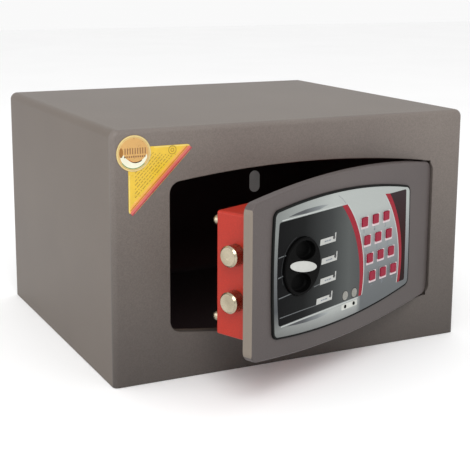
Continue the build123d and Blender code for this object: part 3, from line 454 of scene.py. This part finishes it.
BY_SLOT = {
    "body_paint": BODY_COAT,
    "door_paint": DOOR_COAT,
    "red_paint": RED_COAT,
    "nickel": NICKEL,
    "steel": STEEL,
    "brass": BRASS,
    "seal_rubber": RUBBER,
    "black_plastic": BLACK,
    "silver_panel": SILVER,
    "dark_overlay": FILM,
    "red_print": RED_PRINT,
    "white_print": WHITE_PRINT,
    "lens": LENS,
    "lens_dark": LED_LENS,
    "red_key": RED_KEY,
    "yellow_sticker": YELLOW,
    "gold_sticker": GOLD,
    "circuit_board": BOARD,
    "cell_jacket": CELL,
    "grey_plastic": GREY_PLASTIC,
    "grey_cable": CABLE,
}
for row in frame["record"]["subparts"]:
    slots = nodes[row["node"]].data.materials
    slots.clear()
    slots.append(BY_SLOT[row["material_slot"]])
OWN_FINISH = {
    "overlay_right": FILM_RIGHT,
    "power_contacts": BLACK,
    "hinge_collar": BLACK,
    "hinge_pins": DOOR_COAT,
}
for name, material in OWN_FINISH.items():
    nodes[name].data.materials[0] = material

# ---------------------------------------------------------------- shapes for the detail pieces


def on_door(x, z, depth):
    """A place on the closed door, in millimetres, moved to the door's rest position."""
    return TO_REST @ Vector((x * MM, FRONT_Y + depth * MM, z * MM))


def on_body(x, z, depth):
    """A place on the body's front, in millimetres."""
    return Vector((x * MM, FRONT_Y + depth * MM, z * MM))


def make_piece(name, mesh_source, material, body, smooth=False):
    """Turns a bmesh into a named piece that rides on a body."""
    bmesh.ops.recalc_face_normals(mesh_source, faces=mesh_source.faces)
    mesh = bpy.data.meshes.new(name)
    mesh_source.to_mesh(mesh)
    mesh_source.free()
    mesh.materials.append(material)
    for polygon in mesh.polygons:
        polygon.use_smooth = smooth
    piece = bpy.data.objects.new(name, mesh)
    bpy.context.scene.collection.objects.link(piece)
    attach(piece, body)
    return piece


def signed_area(points):
    """Area of a closed outline, positive where it runs anticlockwise."""
    following = points[1:] + points[:1]
    return sum(a[0] * b[1] - b[0] * a[1] for a, b in zip(points, following)) / 2


def inset(points, distance):
    """A closed outline moved inwards by a distance."""
    if signed_area(points) < 0:
        points = points[::-1]
    moved = []
    for before, here, after in zip(points[-1:] + points[:-1], points, points[1:] + points[:1]):
        a = (Vector(here) - Vector(before)).normalized()
        b = (Vector(after) - Vector(here)).normalized()
        normal = Vector((-a.y - b.y, a.x + b.x))
        if normal.length < 1e-6:
            normal = Vector((-a.y, a.x))
        normal.normalize()
        reach = distance / max(0.5, normal.dot(Vector((-a.y, a.x))))
        moved.append((here[0] + normal.x * reach, here[1] + normal.y * reach))
    return moved


def loop_of(source, place, points, depth):
    """Vertices at an outline's points, at one depth."""
    return [source.verts.new(place(x, z, depth)) for x, z in points]


def bridge(source, first, second):
    """A band of faces between two loops of vertices."""
    count = len(first)
    for i in range(count):
        j = (i + 1) % count
        source.faces.new((first[i], first[j], second[j], second[i]))


# The share of a raised shape's height that rises straight, below its softened edge.
SHOULDER = 0.6


def relief(name, outlines, place, depth, height, material, body, edge=0.06):
    """Flat printed or moulded shapes with a softened edge, raised by a height from a depth."""
    source = bmesh.new()
    for points in outlines:
        points = inset(points, 0.0)
        foot = loop_of(source, place, points, depth)
        shoulder = loop_of(source, place, points, depth - height * SHOULDER)
        crown = loop_of(source, place, inset(points, edge), depth - height)
        bridge(source, foot, shoulder)
        bridge(source, shoulder, crown)
        source.faces.new(crown)
    return make_piece(name, source, material, body)


def framed(name, pairs, place, depth, height, material, body):
    """Raised frames, each between an outer and an inner outline with the same number of points."""
    source = bmesh.new()
    for outer, inner in pairs:
        outer = inset(outer, 0.0)
        inner = inset(inner, 0.0)
        edge = min(0.08, height * 0.5)
        loops = [
            loop_of(source, place, outer, depth),
            loop_of(source, place, outer, depth - height * SHOULDER),
            loop_of(source, place, inset(outer, edge), depth - height),
            loop_of(source, place, inset(inner, -edge), depth - height),
            loop_of(source, place, inner, depth - height * SHOULDER),
            loop_of(source, place, inner, depth),
        ]
        for first, second in zip(loops, loops[1:]):
            bridge(source, first, second)
    return make_piece(name, source, material, body)


def stroke(points, width):
    """Outline of a line drawn along some points."""
    points = [Vector(p) for p in points]
    left, right = [], []
    for i, here in enumerate(points):
        before = points[max(i - 1, 0)]
        after = points[min(i + 1, len(points) - 1)]
        along = (after - before).normalized()
        side = Vector((-along.y, along.x)) * width / 2
        left.append(tuple(here + side))
        right.append(tuple(here - side))
    return left + right[::-1]


def oval(x, z, half_x, half_z, turn=0.0, count=40):
    """Outline of an ellipse turned by some degrees."""
    c, s = math.cos(math.radians(turn)), math.sin(math.radians(turn))
    points = []
    for i in range(count):
        a = 2 * math.pi * i / count
        u, v = half_x * math.cos(a), half_z * math.sin(a)
        points.append((x + u * c - v * s, z + u * s + v * c))
    return points


def arc(x, z, radius, start, end, count=24):
    """Points along a circle's arc, its angles in degrees."""
    angles = [math.radians(start + (end - start) * i / count) for i in range(count + 1)]
    return [(x + radius * math.cos(a), z + radius * math.sin(a)) for a in angles]


def arc_through(a, b, c):
    """Points along the circular arc through three points."""
    (ax, ay), (bx, by), (cx, cy) = a, b, c
    d = 2 * (ax * (by - cy) + bx * (cy - ay) + cx * (ay - by))
    sa, sb, sc = ax * ax + ay * ay, bx * bx + by * by, cx * cx + cy * cy
    x = (sa * (by - cy) + sb * (cy - ay) + sc * (ay - by)) / d
    y = (sa * (cx - bx) + sb * (ax - cx) + sc * (bx - ax)) / d
    start = math.atan2(ay - y, ax - x)
    end = math.atan2(cy - y, cx - x)
    turn = (end - start + math.pi) % (2 * math.pi) - math.pi
    radius = math.hypot(ax - x, ay - y)
    count = 24
    angles = [start + turn * i / count for i in range(count + 1)]
    return [(x + radius * math.cos(t), y + radius * math.sin(t)) for t in angles]


def soft_square(x, z, half_x, half_z, radius):
    """Outline of a rectangle with round corners."""
    points = []
    for sx, sz, start in ((1, 1, 0), (-1, 1, 90), (-1, -1, 180), (1, -1, 270)):
        centre = (x + sx * (half_x - radius), z + sz * (half_z - radius))
        points += arc(*centre, radius, start, start + 90, 5)
    return points


def domes(name, centres, radius, rise, place, depth, material, body):
    """Shallow round lenses."""
    source = bmesh.new()
    for x, z in centres:
        previous = None
        for step in range(7):
            a = math.radians(15 * step)
            reach = max(radius * math.cos(a), 0.02 * radius)
            loop = loop_of(source, place, oval(x, z, reach, reach), depth - rise * math.sin(a))
            if previous:
                bridge(source, previous, loop)
            previous = loop
        source.faces.new(previous)
    return make_piece(name, source, material, body, smooth=True)


# ---------------------------------------------------------------- prints, painted shade and painted highlights on the keypad plate

PRINT = 0.08
LIFT = 0.01
BAND_ONE = arc_through((2.8, 173.8), (31.0, 122.5), (30.9, 76.4))
BAND_TWO = arc_through((69.8, 174.0), (97.0, 123.0), (97.2, 75.5))


def door_print(name, outlines, depth, material, height=PRINT):
    """Flat shapes just above a surface of the door: prints, painted shade and painted highlights."""
    return relief(name, outlines, on_door, depth + LIFT, height, material, "door")


def fading_shade():
    """Painted shade on the silver that fades out towards the hinge."""
    m = Material("fading_shade", Metallic=0.3)
    along = m.span(m.across_door(), door_position(-89 * MM), door_position(-24 * MM))
    m.colour(
        m.ramp(
            along,
            (0.0, srgb("34363a")),
            (0.35, srgb("3d4043")),
            (0.7, srgb("6b7072")),
            (1.0, srgb("999e9d")),
        )
    )
    m.roughness(m.span(m.noise(2600.0, 1.0), 0.3, 0.7, 0.34, 0.44))
    return m.material


SHADE = fading_shade()
# Painted highlight colour for the glint lines along the plate's edges.
PAINTED_GLINT = printed("bright_line", "b2b6b3", Metallic=0.3)
OVERLAY_LINE = printed("overlay_line", "5e6162", Specular_IOR_Level=0.1)
FAINT_LINE = printed("faint_line", "2b2c2d", Specular_IOR_Level=0.05)
PALE_PINK = printed("pale_pink", "c9b7ba")
GREY_INK = printed("grey_ink", "6c727c")
PALE_PATCH = printed("pale_patch", "b9bbb4")

# Painted shade: dark wedges on the silver just above and below the dark overlay.
door_print(
    "plate_shades",
    [
        [(-90, 176.9), (-78, 178.6), (-65, 179.7), (-50, 180.0), (-37, 179.6), (-28, 178.6),
         (-43, 176.2), (-65, 175.9)],
        [(-91, 73.9), (-75, 74.4), (-59, 74.4), (-40, 73.8), (-22, 72.3), (-27, 70.6),
         (-45, 70.2), (-62, 70.8), (-78, 72.2)],
    ],
    PANEL_MM,
    SHADE,
)
door_print(
    "plate_hairline",
    [stroke([(-12.6, 184.8), (-5.6, 180.6), (0.2, 175.2)], 0.9)],
    PANEL_MM,
    GREY_PRINT,
)
# Painted highlights: bright glint lines along the overlay's top and bottom edges and beside the two bands.
door_print(
    "plate_edge_lines",
    [
        stroke([(-99.5, 174.9), (-54.0, 174.9), (-6.0, 174.9)], 1.0),
        stroke([(-99.5, 75.3), (-38.0, 75.3), (25.0, 75.3)], 1.0),
        stroke([(x + 0.9, z) for x, z in BAND_ONE], 1.2),
        stroke([(x - 0.9, z) for x, z in BAND_TWO], 1.2),
    ],
    PANEL_MM,
    PAINTED_GLINT,
)
door_print(
    "overlay_marks",
    [
        stroke([(-104.5, 141.2), (-98.5, 141.7), (-92.5, 141.7)], 0.9),
        stroke([(-105.0, 122.4), (-101.0, 122.8), (-97.6, 123.2)], 1.0),
        stroke([(-103.6, 103.0), (-94.0, 103.4), (-84.5, 103.9)], 0.9),
        stroke([(-49.6, 102.6), (-45.0, 103.0), (-40.5, 103.4)], 0.9),
        stroke([(-101.6, 84.2), (-71.5, 84.1), (-45.5, 83.7)], 0.8),
    ],
    OVERLAY_MM,
    OVERLAY_LINE,
)
door_print(
    "knob_ring_mark",
    [
        stroke(arc(KNOB_X_MM, KNOB_Z_MM, 29.6, 105, 205), 0.8),
        stroke(arc(KNOB_X_MM, KNOB_Z_MM, 29.6, 290, 325), 0.7),
    ],
    OVERLAY_MM,
    FAINT_LINE,
)

# Key caps and surrounds, and a small number or word bar under each key.
DIGITS = {
    "1": [[(0, 1.2), (0.7, 1.8), (0.7, -1.8)]],
    "2": [[(-0.9, 1.2), (0, 1.8), (0.9, 1.1), (-0.9, -1.8), (1, -1.8)]],
    "3": [[(-0.9, 1.8), (0.9, 1.8), (-0.1, 0.3), (0.9, -0.6), (0, -1.8), (-1, -1.4)]],
    "4": [[(0.5, -1.8), (0.5, 1.8), (-1, -0.8), (1.1, -0.8)]],
    "5": [[(0.9, 1.8), (-0.8, 1.8), (-0.8, 0.3), (0.5, 0.3), (0.9, -0.8), (0, -1.8), (-0.9, -1.4)]],
    "6": [[(0.7, 1.8), (-0.6, 0.4), (-0.9, -0.9), (0, -1.8), (0.9, -0.9), (0, 0.1), (-0.8, -0.5)]],
    "7": [[(-0.9, 1.8), (0.9, 1.8), (-0.3, -1.8)]],
    "8": [[(0, 0.2), (0.8, 1.0), (0, 1.8), (-0.8, 1.0), (0.1, 0.1), (0.9, -0.9), (0, -1.8), (-0.9, -0.9),
           (-0.1, 0.1)]],
    "9": [[(0.8, 0.5), (0, -0.1), (-0.9, 0.9), (0, 1.8), (0.9, 0.9), (0.6, -0.4), (-0.7, -1.8)]],
    "0": [[(0, 1.8), (0.9, 0.7), (0.9, -0.7), (0, -1.8), (-0.9, -0.7), (-0.9, 0.7), (0, 1.8)]],
    "clear": [[(-1.6, 0), (-0.6, 0)], [(0.2, 0), (1.8, 0)]],
    "enter": [[(-1.8, 0), (0.4, 0)], [(1.0, 0), (1.8, 0)]],
}
surrounds = []
numbers = []
KEY_TOP = front_depth("key_1") / MM
CAP_SHIFT = 0.5
CAP_LAP = 0.2
CAP_HEIGHT = 0.35
SURROUND_HEIGHT = 0.16
NUMBER_DROP = 9.8
for key, strokes in DIGITS.items():
    x, z = (value / MM for value in centre_xz("key_" + key))
    cap = soft_square(x + CAP_SHIFT, z, 5.0, 4.7, 1.2)
    hole = soft_square(x + CAP_SHIFT, z, 5.12, 4.85, 1.3)
    surrounds.append((soft_square(x + 1.5, z - 1.0, 6.3, 6.1, 0.8), hole))
    relief("key_cap_" + key, [cap], on_door, KEY_TOP + CAP_LAP, CAP_HEIGHT,
           RED_KEY, "key_" + key, edge=0.35)
    for points in strokes:
        numbers.append(stroke([(x - 0.4 + u * 1.1, z - NUMBER_DROP + v) for u, v in points], 0.6))
framed("key_surrounds", surrounds, on_door, PANEL_MM + LIFT, SURROUND_HEIGHT, PALE_PINK, "door")
door_print("key_numbers", numbers, PANEL_MM, GREY_INK)

# Short bars stand for the words on the four labels, left of each label's lamp.
LABEL_MM = front_depth("function_labels") / MM
LAMPS = [(-18.6, 145.2), (-15.9, 126.1), (-17.3, 106.6), (-22.8, 88.1)]
WORDS = [(-15.5, -12.6), (-11.8, -9.6), (-8.9, -5.2)]
words = [
    stroke([(x + start, z - 1.6), (x + end, z - 1.5)], 1.3) for x, z in LAMPS for start, end in WORDS
]
door_print("label_words", words, LABEL_MM, GREY_INK, height=0.05)
domes("led_domes", LAMPS, 1.45, 0.35,
      on_door, front_depth("status_leds") / MM, LED_LENS, "door")
WINDOWS = [(2.5, 82.3), (18.1, 82.0)]
domes("window_domes", WINDOWS, 4.3, 0.45,
      on_door, front_depth("status_windows") / MM, LENS, "door")
framed(
    "window_rims",
    [(oval(x, z, 5.2, 5.2), oval(x, z, 4.65, 4.65)) for x, z in WINDOWS],
    on_door, OVERLAY_MM + LIFT, 0.12, FAINT_LINE, "door",
)
door_print(
    "contact_patch",
    [soft_square(10.3, 71.0, 13.5, 2.9, 1.2)],
    PANEL_MM,
    PALE_PATCH,
)

# ---------------------------------------------------------------- knob badge and bolt ends

KNOB_TILT = -12.0
BADGE_HALF = (20.8, 5.15)
BADGE_MM = (closed_box("knob_badge")[1].y - FRONT_Y) / MM


def badge():
    """Domed oval badge with a raised rim, in place of the flat CAD one."""
    source = bmesh.new()
    profile = ((1.0, 0.0), (1.0, 0.28), (0.985, 0.4), (0.95, 0.42), (0.925, 0.34), (0.9, 0.3),
               (0.75, 0.42), (0.5, 0.52), (0.25, 0.57), (0.05, 0.58))
    half_x, half_z = BADGE_HALF
    previous = None
    for scale, rise in profile:
        points = oval(KNOB_X_MM, KNOB_Z_MM, half_x * scale, half_z * scale, KNOB_TILT, 56)
        loop = loop_of(source, on_door, points, BADGE_MM - rise)
        if previous:
            bridge(source, previous, loop)
        previous = loop
    source.faces.new(previous)
    piece = make_piece("knob_badge_domed", source, BADGE_WHITE, "knob", smooth=True)
    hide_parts("knob_badge")


badge()


def bolt_ends():
    """Turned faces of the two bolts: a rim, four fine grooves and a shallow centre."""
    source = bmesh.new()
    sides = 48
    profile = [(8.55, 0.0), (8.5, 0.16), (8.3, 0.24)]
    profile += [(7.6 - 0.62 * step, 0.24 if step % 2 else 0.12) for step in range(9)]
    profile += [(1.9, 0.05), (0.15, 0.03)]
    for node in ("bolt_lower", "bolt_upper"):
        low, high = closed_box(node)
        centre_y, centre_z = (low.y + high.y) / 2, (low.z + high.z) / 2
        previous = None
        for radius, rise in profile:
            loop = []
            for i in range(sides):
                a = 2 * math.pi * i / sides
                y = centre_y + radius * MM * math.cos(a)
                z = centre_z + radius * MM * math.sin(a)
                loop.append(source.verts.new(TO_REST @ Vector((low.x - rise * MM, y, z))))
            if previous:
                bridge(source, previous, loop)
            previous = loop
        source.faces.new(previous)
    make_piece("bolt_end_faces", source, NICKEL, "bolts", smooth=True)


bolt_ends()

# ---------------------------------------------------------------- sticker prints

STICKER_X, STICKER_Z, STICKER_LEG = -183.0, 233.0, 69.0
STICKER_MM = -0.3
STICKER_PRINT = 0.05
seal_low, seal_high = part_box("round_seal")
SEAL_X = (seal_low.x + seal_high.x) / 2 / MM
SEAL_Z = (seal_low.z + seal_high.z) / 2 / MM
SEAL_MM = (seal_low.y - FRONT_Y) / MM
HALF = math.sqrt(0.5)


def sticker_point(along, off):
    """A place on the triangle: along its long side from the lower end, and off it inwards."""
    x = STICKER_X + along * HALF - off * HALF
    z = STICKER_Z - STICKER_LEG + along * HALF + off * HALF
    return x, z


def sticker_print(name, outlines, material, depth=STICKER_MM):
    """Printed shapes just above a sticker on the body's front."""
    return relief(name, outlines, on_body, depth + LIFT, STICKER_PRINT, material, "body", edge=0.03)


def sticker_band(inset_ends, off, width):
    """A band beside the triangle's long side, stopping short of both its ends."""
    start, end = inset_ends, LONG - inset_ends
    places = (start, (start + end) / 2, end)
    return stroke([sticker_point(along, off) for along in places], width)


def vinyl(name, code):
    """A glossy printed colour of the triangle."""
    return printed(name, code, roughness=0.3, Coat_Weight=0.3)


SALMON = vinyl("salmon_print", "c45f52")
DEEP_RED = vinyl("deep_red_print", "9c333d")
ORANGE = vinyl("orange_print", "b8641c")
PALE_ORANGE = vinyl("pale_orange_print", "d99a44")
PALE_YELLOW = vinyl("pale_yellow_print", "d6c368")
LONG = STICKER_LEG * math.sqrt(2)

for name, material, inset_ends, off, width in (
    ("sticker_band_red", DEEP_RED, 5.5, 0.95, 1.5),
    ("sticker_band_salmon", SALMON, 6.0, 3.0, 2.6),
    ("sticker_line_orange", ORANGE, 7.5, 5.2, 1.2),
    ("sticker_line_pale", PALE_ORANGE, 9.5, 6.9, 1.3),
):
    sticker_print(name, [sticker_band(inset_ends, off, width)], material)
EDGE = 0.9
sticker_print(
    "sticker_edges",
    [
        stroke([(STICKER_X + along, STICKER_Z - EDGE) for along in (26.0, 45.0, 62.0)], EDGE),
        stroke([(STICKER_X + EDGE, STICKER_Z - along) for along in (26.0, 45.0, 62.0)], EDGE),
    ],
    PALE_YELLOW,
)
rows = []
WORD_LENGTHS = (2.2, 3.6, 1.6, 4.4, 2.8)
for row in range(7):
    off = 10.6 + row * 2.7
    start, end = 9.0 + off * 1.02, LONG - 20.0 - off * 0.55
    at, count = start, row
    while at < end:
        length = WORD_LENGTHS[count % 5]
        rows.append(stroke([sticker_point(at, off), sticker_point(min(at + length, end + 1.0), off)], 0.75))
        at += length + 1.1
        count += 1
sticker_print("sticker_rows", rows, YELLOW_INK)
ICON = sticker_point(77.0, 14.0)
framed(
    "sticker_icon",
    [(oval(*ICON, 4.2, 4.2), oval(*ICON, 3.5, 3.5)), (oval(*ICON, 1.9, 1.9), oval(*ICON, 1.2, 1.2))],
    on_body, STICKER_MM + LIFT, STICKER_PRINT, YELLOW_INK, "body",
)

# Round foil seal: a pale rim, a crescent, an orange sweep and brown bars in place of words.
framed(
    "seal_rim",
    [
        (oval(SEAL_X, SEAL_Z, 17.0, 17.0), oval(SEAL_X, SEAL_Z, 15.9, 15.9)),
        (oval(SEAL_X, SEAL_Z, 15.2, 15.2), oval(SEAL_X, SEAL_Z, 14.8, 14.8)),
    ],
    on_body, SEAL_MM + LIFT, 0.1, printed("seal_rim_foil", "cfc084", Metallic=0.3), "body",
)


def crescent(outer_r, inner_r, rise):
    """Outline of a crescent in the lower half of the seal."""
    outer = arc(SEAL_X, SEAL_Z, outer_r, 196, 344)
    inner = arc(SEAL_X + 1.5, SEAL_Z + rise, inner_r, 335, 205)
    return outer + inner


def seal_print(name, outlines, material):
    """Printed shapes just above the round seal."""
    sticker_print(name, outlines, material, SEAL_MM)


bars = []
for i in range(9):
    x = SEAL_X - 8.5 + i * 2.5
    bars.append(stroke([(x, SEAL_Z + 5.2), (x, SEAL_Z - 0.6)], 1.0))
for i in range(10):
    bars.append(stroke([(SEAL_X + shift + i * 2.2, SEAL_Z - 3.0) for shift in (-9.5, -8.1)], 1.6))
seal_print("seal_crescent", [crescent(13.9, 12.6, 4.4)], printed("seal_white", "dad9c2"))
seal_print("seal_green", [stroke(arc(SEAL_X, SEAL_Z, 14.3, 215, 318), 0.9)], printed("seal_green", "6a8350"))
seal_print("seal_sweep", [stroke(arc(SEAL_X + 2.0, SEAL_Z + 1.0, 9.6, 222, 310), 1.0)], ORANGE)
seal_print("seal_bars", bars, printed("seal_brown", "7d5630"))
seal_print("seal_shield", [oval(SEAL_X - 12.4, SEAL_Z + 1.2, 1.9, 4.6)], printed("seal_amber", "8f5f1c"))

# ---------------------------------------------------------------- stage, light and camera

FLOOR_Z = -0.5 * MM
WORLD_STRENGTH = 0.95


def area_light(name, place, target, side, power):
    """A square white area light that faces a target."""
    data = bpy.data.lights.new(name, "AREA")
    data.shape = "RECTANGLE"
    data.size = data.size_y = side
    data.energy = power
    light = bpy.data.objects.new(name, data)
    light.location = place
    direction = Vector(target) - Vector(place)
    light.rotation_euler = direction.to_track_quat("-Z", "Y").to_euler()
    bpy.context.scene.collection.objects.link(light)


def floor():
    """A pale paper floor just under the object."""
    half = 6.0
    mesh = bpy.data.meshes.new("floor")
    corners = [(-half, -half, 0), (half, -half, 0), (half, half, 0), (-half, half, 0)]
    mesh.from_pydata(corners, [], [(0, 1, 2, 3)])
    piece = bpy.data.objects.new("floor", mesh)
    piece.location.z = FLOOR_Z
    m = Material("floor_paper")
    m.colour(m.ramp(m.noise(3.0), (0.3, srgb("f9f9f9")), (0.7, srgb("fbfbfb"))))
    m.shader.inputs["Roughness"].default_value = 0.8
    mesh.materials.append(m.material)
    bpy.context.scene.collection.objects.link(piece)


def world():
    """Even white surroundings."""
    scene = bpy.context.scene
    scene.world = bpy.data.worlds.new("studio")
    scene.world.use_nodes = True
    background = scene.world.node_tree.nodes["Background"]
    background.inputs["Color"].default_value = (1, 1, 1, 1)
    background.inputs["Strength"].default_value = WORLD_STRENGTH
    scene.view_settings.view_transform = "Standard"


CAMERA_AZIMUTH = math.radians(26.26)
CAMERA_ELEVATION = math.radians(11.22)
CAMERA_ROLL = math.radians(0.33)
CAMERA_PLACE = (-0.5396, -1.1224, 0.3957)
CAMERA_LENS = 84.42
CAMERA_SENSOR = 36
CAMERA_SHIFT = -0.1


def camera():
    """The camera, a little shifted down to keep the verticals nearly upright."""
    data = bpy.data.cameras.new("camera")
    data.lens = CAMERA_LENS
    data.sensor_width = CAMERA_SENSOR
    data.shift_y = CAMERA_SHIFT
    eye = bpy.data.objects.new("camera", data)
    forward = Vector(
        (
            math.sin(CAMERA_AZIMUTH) * math.cos(CAMERA_ELEVATION),
            math.cos(CAMERA_AZIMUTH) * math.cos(CAMERA_ELEVATION),
            -math.sin(CAMERA_ELEVATION),
        )
    )
    right = Vector((math.cos(CAMERA_AZIMUTH), -math.sin(CAMERA_AZIMUTH), 0))
    up = right.cross(forward)
    side = right * math.cos(CAMERA_ROLL) + up * math.sin(CAMERA_ROLL)
    top = up * math.cos(CAMERA_ROLL) - right * math.sin(CAMERA_ROLL)
    turn = Matrix((side, top, -forward)).transposed().to_4x4()
    eye.matrix_world = Matrix.Translation(CAMERA_PLACE) @ turn
    bpy.context.scene.collection.objects.link(eye)
    bpy.context.scene.camera = eye


floor()
world()
area_light("key", (-0.9, -2.3, 2.0), (0, 0, 0.1), 1.5, 50)
area_light("left_box", (-2.3, 0.6, 0.7), (-0.15, -0.15, 0.12), 1.4, 9)
camera()
